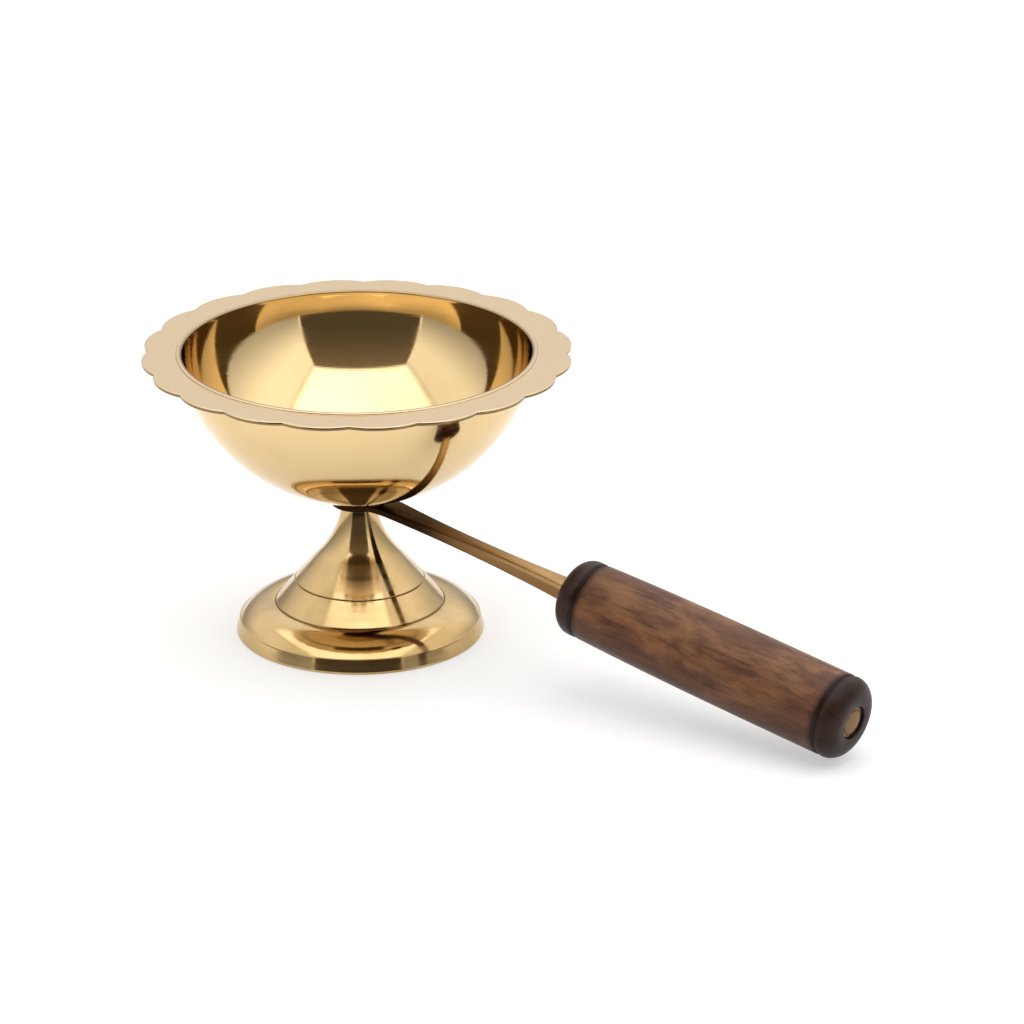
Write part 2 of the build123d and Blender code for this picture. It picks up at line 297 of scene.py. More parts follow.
def flat_ring(bore, radius, low, high, soft, steps):
    """Flat ring about Z with its outer edges broken."""
    section = Section(bore, low)
    section.line((radius - soft, low))
    section.arc((radius - soft, low + soft), 90, steps)
    section.line((radius, high - soft))
    section.arc((radius - soft, high - soft), 90, steps)
    section.line((bore, high))
    return section.turned(96)


def part_of_curve(points, first, last):
    """Part of a curve of four points between two shares of it, again as four points."""

    def mixed(*shares):
        row = points
        for share in shares:
            row = [a.lerp(b, share) for a, b in zip(row, row[1:])]
        return row[0]

    return (mixed(first, first, first), mixed(first, first, last), mixed(first, last, last),
            mixed(last, last, last))


def share_at(points, axis, value):
    """Share of a rising curve of four points at which its radius (0) or height (1) is met."""
    low, high = 0.0, 1.0
    for _ in range(40):
        middle = (low + high) / 2
        if part_of_curve(points, middle, middle)[0][axis] < value:
            low = middle
        else:
            high = middle
    return low


def touch_point(centre, radius, outside):
    """Where a line from a point outside touches a circle on its right."""
    reach = outside - centre
    turn = -math.acos(radius / reach.length)
    return centre + Matrix.Rotation(turn, 2) @ reach.normalized() * radius


def heading(point, centre):
    """Direction of a point from a centre, in degrees."""
    return math.degrees(math.atan2(point.y - centre.y, point.x - centre.x))


def short_turn(degrees):
    """The same turn the short way round."""
    return (degrees + 180) % 360 - 180


def add_object(name, bm, finish):
    """New object at the origin with its place in its mesh."""
    mesh = bpy.data.meshes.new(name)
    bm.to_mesh(mesh)
    bm.free()
    mesh.materials.append(finish)
    made = bpy.data.objects.new(name, mesh)
    bpy.context.scene.collection.objects.link(made)
    return made


def finish_piece(made, node):
    """Shade a piece and let it stand for its solid."""
    sharpest_smooth = math.radians(38)
    made.data.shade_smooth()
    made.data.set_sharp_from_angle(angle=sharpest_smooth)
    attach(made, "root")
    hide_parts(node)


def sloping(distance):
    """Matrix that stands a piece turned about Z on the sloping arm, so far past the bend."""
    arm = bpy.context.scene.lamp_arm
    way = Vector((math.cos(arm.slope), 0, -math.sin(arm.slope)))
    side = Vector((0, 1, 0))
    place = Vector((arm.bend, 0, arm.eye_base + arm.eye_thickness / 2)) + way * distance
    matrix = Matrix((side, way.cross(side), way)).transposed().to_4x4()
    matrix.translation = place
    return matrix


def at_grip(bm):
    """Stand a mesh turned about Z at the front of the grip, along the arm."""
    bmesh.ops.transform(bm, matrix=sloping(bpy.context.scene.lamp_arm.reach), verts=bm.verts)
    return bm


class Board:
    """Adds nodes to one node tree and joins them."""

    def __init__(self, tree):
        self.tree = tree
        tree.nodes.clear()

    def add(self, kind, sockets=None, **settings):
        """New node with its settings, its inputs linked or set."""
        node = self.tree.nodes.new(kind)
        node.location = len(self.tree.nodes) * 180, 0
        for key, value in settings.items():
            setattr(node, key, value)
        for key, value in (sockets or {}).items():
            if isinstance(value, bpy.types.NodeSocket):
                self.tree.links.new(value, node.inputs[key])
            else:
                node.inputs[key].default_value = value
        return node

    def maths(self, operation, first, second=0.0, third=0.0):
        """Result of a math node."""
        return self.add(
            "ShaderNodeMath", {0: first, 1: second, 2: third}, operation=operation).outputs[0]

    def apart(self, first, second):
        """Distance between two values."""
        return self.maths("ABSOLUTE", self.maths("SUBTRACT", first, second))

    def ramp(self, value, low, high, to_low=0.0, to_high=1.0):
        """Value eased from one range to another."""
        return self.add(
            "ShaderNodeMapRange",
            {"Value": value, "From Min": low, "From Max": high, "To Min": to_low, "To Max": to_high},
            interpolation_type="SMOOTHSTEP").outputs[0]

    def mix(self, share, first, second):
        """Colour between two colours."""
        return self.add(
            "ShaderNodeMix", {0: share, 6: first, 7: second}, data_type="RGBA").outputs[2]

    def noise(self, vector, scale, detail=3.0, roughness=0.55, distortion=0.0):
        """Noise value at a place."""
        return self.add(
            "ShaderNodeTexNoise",
            {"Vector": vector, "Scale": scale, "Detail": detail, "Roughness": roughness,
             "Distortion": distortion}).outputs[0]


def group(name, inputs, outputs):
    """Empty shader node group with its sockets, and the nodes that carry them."""
    tree = bpy.data.node_groups.new(name, "ShaderNodeTree")
    for label, kind in inputs:
        tree.interface.new_socket(label, in_out="INPUT", socket_type=kind)
    for label, kind in outputs:
        tree.interface.new_socket(label, in_out="OUTPUT", socket_type=kind)
    board = Board(tree)
    return board, board.add("NodeGroupInput").outputs, board.add("NodeGroupOutput").inputs


def lathe_lines():
    """Group: fine uneven lines left by the lathe, along a distance on the surface."""
    if "Lathe lines" in bpy.data.node_groups:
        return bpy.data.node_groups["Lathe lines"]
    board, given, result = group(
        "Lathe lines",
        [("Distance", "NodeSocketFloat"), ("Lines per metre", "NodeSocketFloat")],
        [("Height", "NodeSocketFloat"), ("Mask", "NodeSocketFloat")])
    place = board.maths("MULTIPLY", given["Distance"], given["Lines per metre"])
    fine = board.add(
        "ShaderNodeTexNoise", {"W": place, "Scale": 1.0, "Detail": 3.0, "Roughness": 0.7},
        noise_dimensions="1D").outputs[0]
    broad = board.add(
        "ShaderNodeTexNoise", {"W": place, "Scale": 0.13, "Detail": 2.0},
        noise_dimensions="1D").outputs[0]
    board.tree.links.new(fine, result["Height"])
    board.tree.links.new(board.ramp(broad, 0.35, 0.65), result["Mask"])
    return board.tree


def dulling():
    """Group: cloudy patches where polish has gone, with fine specks."""
    if "Dulling" in bpy.data.node_groups:
        return bpy.data.node_groups["Dulling"]
    board, given, result = group(
        "Dulling",
        [("Vector", "NodeSocketVector"), ("Bright", "NodeSocketColor"), ("Dull", "NodeSocketColor"),
         ("Amount", "NodeSocketFloat")],
        [("Colour", "NodeSocketColor"), ("Mask", "NodeSocketFloat")])
    clouds = board.noise(given["Vector"], 45.0, 4.0, 0.6)
    specks = board.noise(given["Vector"], 900.0, 2.0, 0.5)
    cloudy = board.ramp(clouds, 0.40, 0.72)
    specky = board.ramp(specks, 0.62, 0.78, 0.0, 0.35)
    mask = board.maths("MULTIPLY", board.maths("ADD", cloudy, specky), given["Amount"])
    mask = board.maths("MINIMUM", mask, 1.0)
    board.tree.links.new(board.mix(mask, given["Bright"], given["Dull"]), result["Colour"])
    board.tree.links.new(mask, result["Mask"])
    return board.tree


def new_finish(name, metallic=1.0):
    """New material with its board, Principled shader and Object coordinates."""
    finish = bpy.data.materials.new(name)
    finish.use_nodes = True
    board = Board(finish.node_tree)
    shader = board.add("ShaderNodeBsdfPrincipled", {"Metallic": metallic})
    board.add("ShaderNodeOutputMaterial", {"Surface": shader.outputs[0]})
    place = board.add("ShaderNodeTexCoord").outputs["Object"]
    return finish, board, shader, place


def surface(board, shader, tint, roughness):
    """Give the shader its colour and roughness."""
    board.tree.links.new(tint, shader.inputs["Base Color"])
    board.tree.links.new(roughness, shader.inputs["Roughness"])


def relief(board, shader, height, strength, depth, invert=False):
    """Give the shader its fine relief."""
    bump = board.add(
        "ShaderNodeBump", {"Height": height, "Strength": strength, "Distance": depth}, invert=invert)
    board.tree.links.new(bump.outputs[0], shader.inputs["Normal"])


def lathed(board, distance, per_metre):
    """Height and mask of the lathe lines along a distance."""
    return board.add(
        "ShaderNodeGroup", {"Distance": distance, "Lines per metre": per_metre},
        node_tree=lathe_lines()).outputs


def worn(board, place, bright, dull, amount):
    """Colour and mask of a metal that has lost its polish in patches."""
    return board.add(
        "ShaderNodeGroup", {"Vector": place, "Bright": bright, "Dull": dull, "Amount": amount},
        node_tree=dulling()).outputs


def from_axis(board, place):
    """Distance of a place from the lamp's axis, and its height."""
    flat = board.add(
        "ShaderNodeVectorMath", {0: place, 1: (1, 1, 0)}, operation="MULTIPLY").outputs[0]
    radius = board.add("ShaderNodeVectorMath", {0: flat}, operation="LENGTH").outputs["Value"]
    return radius, board.add("ShaderNodeSeparateXYZ", {0: place}).outputs["Z"]


def along_arm(board, place, start):
    """The place seen from so far past the bend, with X along the arm."""
    return board.add(
        "ShaderNodeMapping",
        {"Vector": place, "Location": sloping(start).translation,
         "Rotation": (0, bpy.context.scene.lamp_arm.slope, 0)},
        vector_type="TEXTURE").outputs[0]


def brass_bowl_finish():
    """Mirror-polished brass with faint lathe lines, satin on top of the flange, with painted shade
    under the flange's edge and along the lip.
    """
    colours, sizes = bpy.context.scene.lamp_finish, bpy.context.scene.lamp_bowl
    finish, board, shader, place = new_finish("bowl_brass")
    opening, top = sizes.opening, sizes.flange_top
    notch = sizes.flange_radius - sizes.scallop_depth
    radius, height = from_axis(board, place)
    lines = lathed(board, board.maths("ADD", height, board.maths("MULTIPLY", radius, 0.8)), 900.0)
    satin = board.maths(
        "MULTIPLY", board.ramp(radius, opening + 0.0003, opening + 0.0007),
        board.ramp(height, top - 0.0004, top - 0.0001))
    tint = worn(board, place, colours.brass, colours.brass_dull, 0.35)["Colour"]
    tint = board.mix(satin, tint, colours.flange)
    # Painted shade: a dark line under the flange's scalloped edge.
    edge = board.maths(
        "MULTIPLY", board.ramp(radius, notch - 0.0006, notch - 0.0002, 0.0, 0.85),
        board.ramp(height, top - 0.0005, top - 0.0001, 1.0, 0.0))
    # Painted shade: a thin dark line round the inside of the lip.
    mouth = board.maths(
        "MULTIPLY", board.ramp(radius, opening + 0.0005, opening + 0.0009, 0.65, 0.0),
        board.ramp(height, top - 0.0002, top + 0.0002))
    tint = board.mix(board.maths("MAXIMUM", edge, mouth), tint, colours.grime_and_shade)
    polished = board.ramp(lines["Mask"], 0.0, 1.0, 0.05, 0.09)
    rough = board.ramp(board.noise(place, 1500.0, 2.0), 0.3, 0.7, 0.30, 0.42)
    spread = board.add("ShaderNodeMix", {0: satin, 2: polished, 3: rough}).outputs[0]
    surface(board, shader, tint, spread)
    relief(board, shader, lines["Height"], 0.3, 0.00002)
    return finish


def brass_foot_finish():
    """Turned brass of the foot with lathe lines round it and dirt in the engraved rings."""
    colours, sizes = bpy.context.scene.lamp_finish, bpy.context.scene.lamp_foot
    finish, board, shader, place = new_finish("foot_brass")
    radius, height = from_axis(board, place)
    lines = lathed(board, board.maths("SUBTRACT", height, radius), 1200.0)
    tint = worn(board, place, colours.foot, colours.foot_dull, 0.75)["Colour"]
    engraved = board.maths(
        "MINIMUM", board.apart(radius, sizes.ring_radius), board.apart(radius, sizes.valley_radius))
    dirt = board.ramp(engraved, sizes.engraving * 0.3, sizes.engraving, 0.6, 0.0)
    tint = board.mix(dirt, tint, colours.grime_and_shade)
    surface(board, shader, tint, board.ramp(lines["Mask"], 0.0, 1.0, 0.09, 0.17))
    relief(board, shader, lines["Height"], 0.15, 0.00002)
    return finish


def brass_arm_finish():
    """Forged brass, drawn along the bar, with painted shade on its lower side and a painted shadow
    towards the bowl.
    """
    colours, arm = bpy.context.scene.lamp_finish, bpy.context.scene.lamp_arm
    finish, board, shader, place = new_finish("arm_brass")
    local = along_arm(board, place, 0)
    drawn = board.add(
        "ShaderNodeMapping", {"Vector": local, "Scale": (60, 1800, 1800)}).outputs[0]
    streaks = board.noise(drawn, 1.0, 3.0)
    along, _, rise = board.add("ShaderNodeSeparateXYZ", {0: local}).outputs[:3]
    tint = worn(board, place, colours.arm, colours.arm_stain_and_shade, 0.45)["Colour"]
    # Painted shade: darker on the bar's lower side and towards the bowl.
    darkened = board.maths(
        "MAXIMUM", board.ramp(rise, 0.0006, 0.0017, 0.75, 0.0),
        board.ramp(along, 0.030, 0.062, 0.85, 0.0))
    tint = board.mix(darkened, tint, colours.arm_stain_and_shade)
    # Painted shadow under the bowl, darkest at the eye.
    tint = board.mix(board.ramp(along, 0.012, 0.034, 0.96, 0.0), tint, colours.arm_shadow)
    tint = board.mix(board.ramp(along, arm.reach, arm.reach + 0.01), tint, colours.disc)
    surface(board, shader, tint, board.ramp(streaks, 0.3, 0.7, 0.20, 0.34))
    shader.inputs["Specular Tint"].default_value = (0.90, 0.80, 0.68, 1)
    relief(board, shader, streaks, 0.2, 0.00004)
    return finish


def brass_disc_finish():
    """Satin brass of the disc in the butt, with facing lines round its middle."""
    colours, arm = bpy.context.scene.lamp_finish, bpy.context.scene.lamp_arm
    finish, board, shader, place = new_finish("washer_brass")
    across = board.add(
        "ShaderNodeVectorMath", {0: along_arm(board, place, arm.reach), 1: (0, 1, 1)},
        operation="MULTIPLY").outputs[0]
    radius = board.add("ShaderNodeVectorMath", {0: across}, operation="LENGTH").outputs["Value"]
    lines = lathed(board, radius, 3000.0)
    tint = worn(board, place, colours.disc, colours.arm_stain_and_shade, 0.6)["Colour"]
    surface(board, shader, tint, board.ramp(lines["Mask"], 0.0, 1.0, 0.30, 0.42))
    relief(board, shader, lines["Height"], 0.2, 0.00003)
    return finish


def wood_finish():
    """Oiled brown wood with its grain along the grip and dyed dark ends, with painted shade on its
    underside and in and beside its grooves.
    """
    colours, grip = bpy.context.scene.lamp_finish, bpy.context.scene.lamp_grip
    finish, board, shader, place = new_finish("grip_wood", metallic=0.0)
    local = along_arm(board, place, bpy.context.scene.lamp_arm.reach)
    along, _, rise = board.add("ShaderNodeSeparateXYZ", {0: local}).outputs[:3]

    def grain(lengthwise, crosswise, *noise):
        """Noise drawn out along the grip."""
        stretched = board.add(
            "ShaderNodeMapping",
            {"Vector": local, "Scale": (lengthwise, crosswise, crosswise)}).outputs[0]
        return board.noise(stretched, 1.0, *noise)

    figure = grain(45, 170, 5.0, 0.65, 0.8)
    veins = grain(80, 700, 4.0, 0.65)
    pores = grain(160, 3800, 2.0, 0.6)
    patches = grain(42, 75, 4.0, 0.6, 0.5)
    tone = board.mix(board.ramp(patches, 0.44, 0.62), colours.wood, colours.wood_light)
    # The last mask paints shade on the grip's underside; the others are grain.
    for dark in (
            board.ramp(figure, 0.46, 0.68, 0.0, 0.6), board.ramp(veins, 0.46, 0.70, 0.0, 0.5),
            board.ramp(pores, 0.54, 0.70, 0.0, 0.4), board.ramp(rise, -0.011, 0.003, 0.5, 0.0)):
        tone = board.mix(dark, tone, colours.wood_dark_and_shade)
    front, rear, fade = grip.front_groove, grip.long - grip.rear_groove, 0.003
    blur = board.maths("MULTIPLY", board.maths("SUBTRACT", veins, 0.5), 0.004)
    spot = board.maths("ADD", along, blur)
    caps = board.maths(
        "MAXIMUM", board.ramp(spot, front, front + fade, 0.82, 0.0),
        board.ramp(spot, rear - fade, rear, 0.0, 0.88))
    # The ends are dyed; in and beside the grooves the darkening is painted shade.
    grooves = board.maths("MINIMUM", board.apart(along, front), board.apart(along, rear))
    stain_and_shade = board.maths("MAXIMUM", caps, board.ramp(grooves, 0.0006, 0.0028, 0.9, 0.0))
    tone = board.mix(stain_and_shade, tone, colours.wood_stain_and_shade)
    surface(board, shader, tone, board.ramp(pores, 0.4, 0.7, 0.34, 0.50))
    shader.inputs["Specular IOR Level"].default_value = 0.18
    relief(board, shader, board.maths("ADD", veins, pores), 0.18, 0.00006, invert=True)
    return finish


def steel_finish():
    """Zinc plated steel of the clamp, dull in patches."""
    colours = bpy.context.scene.lamp_finish
    finish, board, shader, place = new_finish("clamp_steel")
    plating = worn(board, place, colours.steel, colours.steel_dull, 0.7)
    surface(board, shader, plating["Colour"], board.ramp(plating["Mask"], 0.0, 1.0, 0.26, 0.45))
    return finish


class LAMP_OT_bowl(bpy.types.Operator):
    """Spin the bowl with its lip and flange and cut the scallops"""

    bl_idname = "lamp.bowl"
    bl_label = "Bowl"

    def execute(self, context):
        s = context.scene.lamp_bowl
        base = s.flange_top - s.flange_thickness
        lip, lip_top = s.opening + s.lip_width, s.flange_top + s.lip_rise
        rim = Vector((s.opening + s.rim_wall, base))
        side = rim - Vector((math.sin(s.lean), math.cos(s.lean))) * s.pull
        outside = [Vector((0, s.pole)), Vector((s.fullness, s.pole)), side, rim]
        root, edge, hem, soft = 0.0015, 0.0004, 0.0003, 0.00015
        start, first, second, end = part_of_curve(
            outside, share_at(outside, 0, s.boss + 0.0006), share_at(outside, 1, base - root))
        section = Section(0, s.seat + s.bore_depth)
        section.line((s.bore, s.seat + s.bore_depth), (s.bore, s.seat), (s.boss - edge, s.seat))
        section.arc((s.boss - edge, s.seat + edge), 90, 4)
        section.line((s.boss, start.y - 0.0003), start)
        section.curve(first, second, end, 56)
        section.rounding((rim.x, base), (rim.x + root, base), 6)
        section.line((s.flange_radius - 0.004, base))
        section.flat((s.flange_radius - hem, base))
        section.arc((s.flange_radius - hem, base + hem), 90, 4)
        section.line((s.flange_radius, s.flange_top - hem))
        section.arc((s.flange_radius - hem, s.flange_top - hem), 90, 4)
        section.flat((s.flange_radius - 0.004, s.flange_top))
        section.flat((lip + soft, s.flange_top))
        section.arc((lip + soft, s.flange_top + soft), -90, 3)
        section.line((lip, lip_top - hem))
        section.arc((lip - hem, lip_top - hem), 90, 4)
        section.line((s.opening + edge, lip_top))
        section.arc((s.opening + edge, lip_top - edge), 90 - math.degrees(s.inside_lean), 5)
        slant = Vector((math.sin(s.inside_lean), math.cos(s.inside_lean)))
        section.curve(
            Vector((s.opening, lip_top)) - slant * s.inside_pull, (s.inside_fullness, s.floor),
            (0, s.floor), 72)
        bm = section.turned(s.scallops * 18, closed=False)
        self.scallop(bm, s)
        finish_piece(add_object("spun_bowl", bm, brass_bowl_finish()), "bowl")
        return {"FINISHED"}

    def scallop(self, bm, s):
        """Draw the flange's edge in to round lobes that meet in notches."""
        half = math.pi / s.scallops
        notch = s.flange_radius - s.scallop_depth
        across, along = notch * math.sin(half), notch * math.cos(half)
        rise = s.flange_radius - along
        lobe = (across ** 2 + rise ** 2) / (2 * rise)
        centre = s.flange_radius - lobe
        for vert in bm.verts:
            radius = vert.co.xy.length
            if radius > s.flange_radius - 0.002:
                turn = math.atan2(vert.co.y, vert.co.x) % (2 * half) - half
                edge = centre * math.cos(turn)
                edge += math.sqrt(lobe ** 2 - (centre * math.sin(turn)) ** 2)
                vert.co.xy *= (radius - s.flange_radius + edge) / radius
        bmesh.ops.rotate(
            bm, verts=bm.verts, cent=(0, 0, 0), matrix=Matrix.Rotation(s.scallop_turn, 3, "Z"))


class LAMP_OT_foot(bpy.types.Operator):
    """Turn the hollow bell foot with its moulding and engraved rings"""

    bl_idname = "lamp.foot"
    bl_label = "Foot"

    def execute(self, context):
        s = context.scene.lamp_foot
        ledge = Vector((s.radius - s.taper - s.ledge, s.band))
        valley, neck = Vector((s.valley_radius, s.valley_height)), Vector((s.neck, s.height))
        over, inwards = valley - ledge, -Vector((math.cos(s.lean), math.sin(s.lean)))
        shoulder = ledge + inwards * (over.length_squared / (2 * over.dot(inwards)))
        flare = neck + Vector((math.cos(s.neck_lean), math.sin(s.neck_lean))) * s.flare
        cone_top = touch_point(flare, s.flare, valley)
        down, under = (valley - cone_top).normalized(), (shoulder - valley).normalized()
        inward, outward = Vector((down.y, -down.x)), Vector((-under.y, under.x))
        ring = cone_top + down * ((s.ring_radius - cone_top.x) / down.x)
        soft, lip = 0.0003, s.engraving

        section = Section(s.bore, s.height)
        section.line(neck)
        section.arc(flare, short_turn(heading(cone_top, flare) - heading(neck, flare)), 32)
        section.flat(ring - down * lip)
        section.line(ring + inward * lip, ring + down * lip)
        section.flat(valley - down * lip)
        section.line(valley + (inward + under) * lip * 0.5)
        rise = shoulder + (valley + outward * lip - shoulder).normalized() * (valley - shoulder).length
        section.line(rise)
        section.arc(
            shoulder, short_turn(heading(ledge, shoulder) - heading(rise, shoulder)), 28)
        crown = Vector((s.radius - s.taper, s.band))
        section.line((crown.x - soft, crown.y))
        section.arc(
            crown - Vector((soft, soft)), math.degrees(math.atan(s.taper / (s.band - s.hem))) - 90, 4)
        section.flat((s.radius, s.hem))
        section.rounding((s.radius, 0), (s.radius - s.hem, 0))

        base, inner = ledge.x - s.wall, (valley - shoulder).length - s.wall
        spring = Vector((base, shoulder.y + math.sqrt(inner ** 2 - (base - shoulder.x) ** 2)))
        corner = valley + (inward + under) * (s.wall / (1 + inward.dot(under)))
        inner_cone = cone_top + inward * s.wall
        top = inner_cone.lerp(corner, (inner_cone.y - s.ceiling) / (inner_cone.y - corner.y))
        section.line((base + soft, 0), (base, soft), spring)
        section.arc(
            shoulder, short_turn(heading(corner, shoulder) - heading(spring, shoulder)), 14)
        section.line(corner, top, (s.bore, s.ceiling))
        made = add_object("bell_foot", section.turned(240), brass_foot_finish())
        finish_piece(made, "pedestal")
        return {"FINISHED"}


class LAMP_OT_arm(bpy.types.Operator):
    """Draw the arm from its eye through the waist to the tang and its hammered head"""

    bl_idname = "lamp.arm"
    bl_label = "Arm"

    def execute(self, context):
        s, grip = context.scene.lamp_arm, context.scene.lamp_grip
        finish = brass_arm_finish()
        bar = add_object("forged_arm", self.bar(s), finish)
        ends = [add_object("arm_eye", self.eye(s), finish),
                add_object("arm_tang", self.tang(s, grip), finish)]
        for end in ends:
            union = bar.modifiers.new(end.name, "BOOLEAN")
            union.operation, union.solver, union.object = "UNION", "MANIFOLD", end
        whole = bpy.data.meshes.new_from_object(
            bar.evaluated_get(context.evaluated_depsgraph_get()))
        bar.modifiers.clear()
        for end in ends:
            bpy.data.objects.remove(end)
        bar.data = whole
        finish_piece(bar, "arm")
        return {"FINISHED"}

    def eye(self, s):
        """Flat ring under the bowl with broken edges."""
        return flat_ring(s.bore, s.eye, s.eye_base, s.eye_base + s.eye_thickness, 0.0003, 4)

    def bar(self, s):
        """Bar from inside the eye along the slope to the grip."""
        bm = bmesh.new()
        bmesh.ops.create_grid(bm, x_segments=1, y_segments=1, size=0.5)
        bmesh.ops.scale(bm, vec=(s.root_width, s.eye_thickness, 1), verts=bm.verts)
        bmesh.ops.bevel(
            bm, geom=bm.verts[:], offset=s.edge, segments=6, profile=0.5, affect="VERTICES",
            material=-1)
        before_bend, past_rim, steps = 0.0012, 0.0005, 40
        level = Matrix(((0, 0, 1), (1, 0, 0), (0, 1, 0))).to_4x4()
        level.translation = s.eye + past_rim - s.eye_thickness, 0, s.eye_base + s.eye_thickness / 2
        root = level.copy()
        root.translation.x = s.bend - before_bend
        stations = [(root, s.root_width, s.eye_thickness)]
        for step in range(1, steps + 1):
            far = s.reach * step / steps
            stations.append((
                sloping(far), self.drawn(s, far, s.root_width, s.waist_width, s.mouth_width),
                self.drawn(s, far, s.eye_thickness, s.waist_thickness, s.mouth_thickness)))
        bmesh.ops.transform(bm, matrix=level, verts=bm.verts)
        ring, stand, width, thickness = bm.edges[:], level, s.root_width, s.eye_thickness
        for next_stand, next_width, next_thickness in stations:
            grown = bmesh.ops.extrude_edge_only(bm, edges=ring)["geom"]
            ring = [item for item in grown if isinstance(item, bmesh.types.BMEdge)]
            for vert in [item for item in grown if isinstance(item, bmesh.types.BMVert)]:
                place = stand.inverted() @ vert.co
                place.x += math.copysign(0.5, place.x) * (next_width - width)
                place.y += math.copysign(0.5, place.y) * (next_thickness - thickness)
                vert.co = next_stand @ place
            stand, width, thickness = next_stand, next_width, next_thickness
        bmesh.ops.contextual_create(bm, geom=ring)
        return tidied(bm)

    def drawn(self, s, far, root, waist, mouth):
        """Width or thickness of the bar so far past the bend, drawn in to the waist."""
        first = (waist - root) / s.waist
        second = ((mouth - waist) / (s.reach - s.waist) - first) / s.reach
        return root + far * first + far * (far - s.waist) * second

    def tang(self, s, grip):
        """Round tang with the low dome hammered on its end."""
        base, inside_bar = grip.long - grip.recess_depth + grip.washer_thickness, -0.002
        section = Section(0, inside_bar)
        section.line((s.tang, inside_bar), (s.tang, base), (s.head, base))
        section.rounding((s.head, base + s.head_height), (0, base + s.head_height), 12)
        return at_grip(section.turned(48, closed=False))


class LAMP_OT_grip(bpy.types.Operator):
    """Turn the wooden grip with its two grooves and the disc in its butt"""

    bl_idname = "lamp.grip"
    bl_label = "Grip"

    def execute(self, context):
        s = context.scene.lamp_grip
        rear, half = s.long - s.rear_groove, (s.front_groove + s.long - s.rear_groove) / 2
        soft, handle = 0.0003, s.long * 0.15
        section = Section(s.bore, 0)
        section.line((s.front - s.front_nose, 0))
        section.rounding((s.front, 0), (s.front, s.front_nose), 12)
        self.groove(section, s.front, s.front_groove, s.groove, soft)
        swell = (4 * s.middle - (s.front + s.rear) / 2) / 3
        section.curve(
            (swell, half - handle), (swell, half + handle), (s.rear, rear - s.groove - soft), 40)
        self.groove(section, s.rear, rear, s.groove, soft)
        section.line((s.rear, s.long - s.rear_nose))
        section.rounding((s.rear, s.long), (s.butt_flat, s.long), 14)
        section.line((s.recess + soft, s.long))
        section.rounding((s.recess, s.long), (s.recess, s.long - soft))
        bottom = s.long - s.recess_depth
        section.line((s.recess, bottom), (s.bore, bottom))
        made = add_object("turned_grip", at_grip(section.turned(128)), wood_finish())
        finish_piece(made, "grip")

        top, worn_edge = bottom + s.washer_thickness, 0.0002
        section = Section(s.bore, bottom)
        section.line((s.washer, bottom), (s.washer, top - worn_edge))
        section.arc((s.washer - worn_edge, top - worn_edge), 90, 3)
        section.line((s.bore, top))
        made = add_object("butt_disc", at_grip(section.turned(96)), brass_disc_finish())
        finish_piece(made, "tang_washer")
        return {"FINISHED"}

    def groove(self, section, radius, place, half, soft):
        """Turned groove with softened edges."""
        section.line((radius, place - half - soft))
        section.rounding((radius, place - half), (radius - soft * 0.7, place - half + soft * 0.7))
        section.line((radius - half * 0.8, place - half * 0.2))
        section.rounding((radius - half, place), (radius - half * 0.8, place + half * 0.2))
        section.line((radius - soft * 0.7, place + half - soft * 0.7))
        section.rounding((radius, place + half), (radius, place + half + soft))


class LAMP_OT_clamp(bpy.types.Operator):
    """Make the stud, washer and nut inside the foot"""

    bl_idname = "lamp.clamp"
    bl_label = "Clamp"

    def execute(self, context):
        s, ceiling = context.scene.lamp_clamp, context.scene.lamp_foot.ceiling
        steel = steel_finish()
        root = s.stud - s.pitch * 0.5
        section = Section(0, s.stud_bottom)
        section.line((root, s.stud_bottom))
        turns = int((s.stud_top - s.stud_bottom) / s.pitch)
        for number in range(turns):
            low = s.stud_bottom + s.pitch * (number + 0.1)
            section.line(
                (root, low), (s.stud, low + s.pitch * 0.38), (s.stud, low + s.pitch * 0.52))
        section.line((root, s.stud_top - s.pitch * 0.2), (root, s.stud_top), (0, s.stud_top))
        made = add_object("threaded_stud", section.turned(48, closed=False), steel)
        finish_piece(made, "clamp_stud")

        bottom = ceiling - s.washer_thickness
        washer = flat_ring(s.washer_bore, s.washer, bottom, ceiling, 0.0002, 3)
        finish_piece(add_object("plain_washer", washer, steel), "clamp_washer")

        made = add_object("hexagon_nut", self.nut(s, bottom - s.nut_height, bottom), steel)
        finish_piece(made, "clamp_nut")
        return {"FINISHED"}

    def nut(self, s, low, high):
        """Hexagon with its corners turned off at both ends and the hole countersunk."""
        flat, corner = s.nut_flats / 2, s.nut_flats / math.sqrt(3)
        sink, slope = 0.0004, math.tan(math.radians(30))
        face = flat * 0.98
        drop = (corner - face) * slope
        section = Section(s.nut_bore + sink, low)
        section.line((face, low), (corner, low + drop), (corner, high - drop), (face, high))
        section.line((s.nut_bore + sink, high), (s.nut_bore, high - sink), (s.nut_bore, low + sink))
        bm = section.turned(72)
        for vert in bm.verts:
            radius = vert.co.xy.length
            turn = (math.atan2(vert.co.y, vert.co.x) + math.pi / 6) % (math.pi / 3) - math.pi / 6
            reach = flat / math.cos(turn)
            if radius > reach:
                ends = (corner - reach) * slope
                vert.co.xy *= reach / radius
                vert.co.z += -ends if vert.co.z < (low + high) / 2 else ends
        return bm


